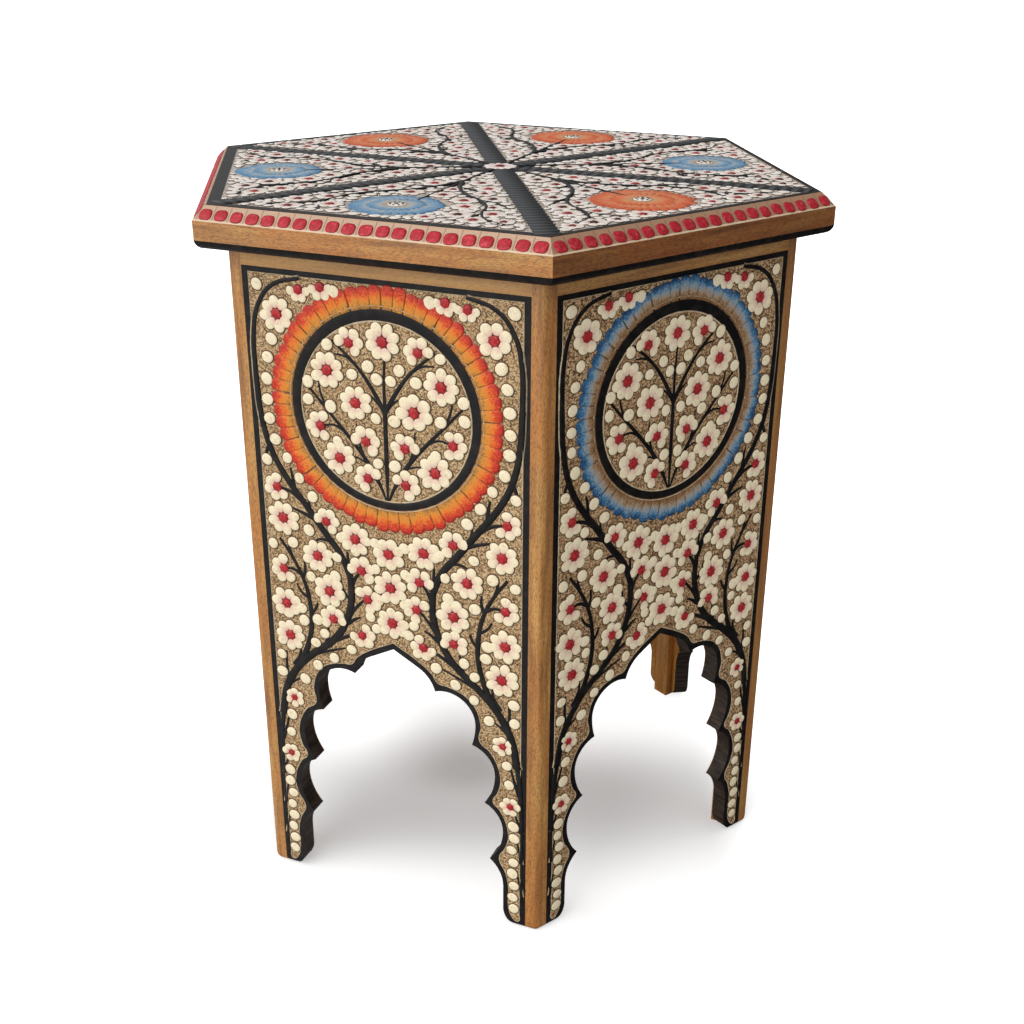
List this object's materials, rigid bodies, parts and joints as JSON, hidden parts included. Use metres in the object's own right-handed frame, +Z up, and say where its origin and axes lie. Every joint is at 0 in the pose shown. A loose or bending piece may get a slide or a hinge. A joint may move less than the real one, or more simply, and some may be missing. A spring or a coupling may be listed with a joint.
{
  "type": "painted hexagonal stool",
  "caption": "Hexagonal wooden stool with a chamfered seat on corner posts, arched painted side panels with a cusped outline, and blossom patterns on sides and seat.",
  "frame": {"origin": "centre of the six feet, on the floor", "axes": "+Z up the stool's axis, +X towards a corner post, -Y out of the first side panel"},
  "size_m": [0.4342, 0.376, 0.46],
  "materials": {
    "bare_wood": "oiled, satin",
    "painted_panel": "hand painted, satin",
    "rim_wood": "oiled, with painted edges",
    "painted_seat": "hand painted, satin",
    "dowel_wood": "plain",
    "screw_steel": "zinc plated"
  },
  "bodies": {
    "root": {"arch_panel_1": "painted_panel", "arch_panel_2": "painted_panel", "arch_panel_3": "painted_panel", "arch_panel_4": "painted_panel", "arch_panel_5": "painted_panel", "arch_panel_6": "painted_panel", "corner_post_1": "bare_wood", "corner_post_2": "bare_wood", "corner_post_3": "bare_wood", "corner_post_4": "bare_wood", "corner_post_5": "bare_wood", "corner_post_6": "bare_wood", "post_dowels": "dowel_wood", "seat_dowels": "dowel_wood", "seat_lipping_1": "rim_wood", "seat_lipping_2": "rim_wood", "seat_lipping_3": "rim_wood", "seat_lipping_4": "rim_wood", "seat_lipping_5": "rim_wood", "seat_lipping_6": "rim_wood", "seat_plank_1": "painted_seat", "seat_plank_2": "painted_seat", "seat_plank_3": "painted_seat", "seat_screws": "screw_steel", "top_rail_1": "bare_wood", "top_rail_2": "bare_wood", "top_rail_3": "bare_wood", "top_rail_4": "bare_wood", "top_rail_5": "bare_wood", "top_rail_6": "bare_wood"}
  },
  "joints": []
}
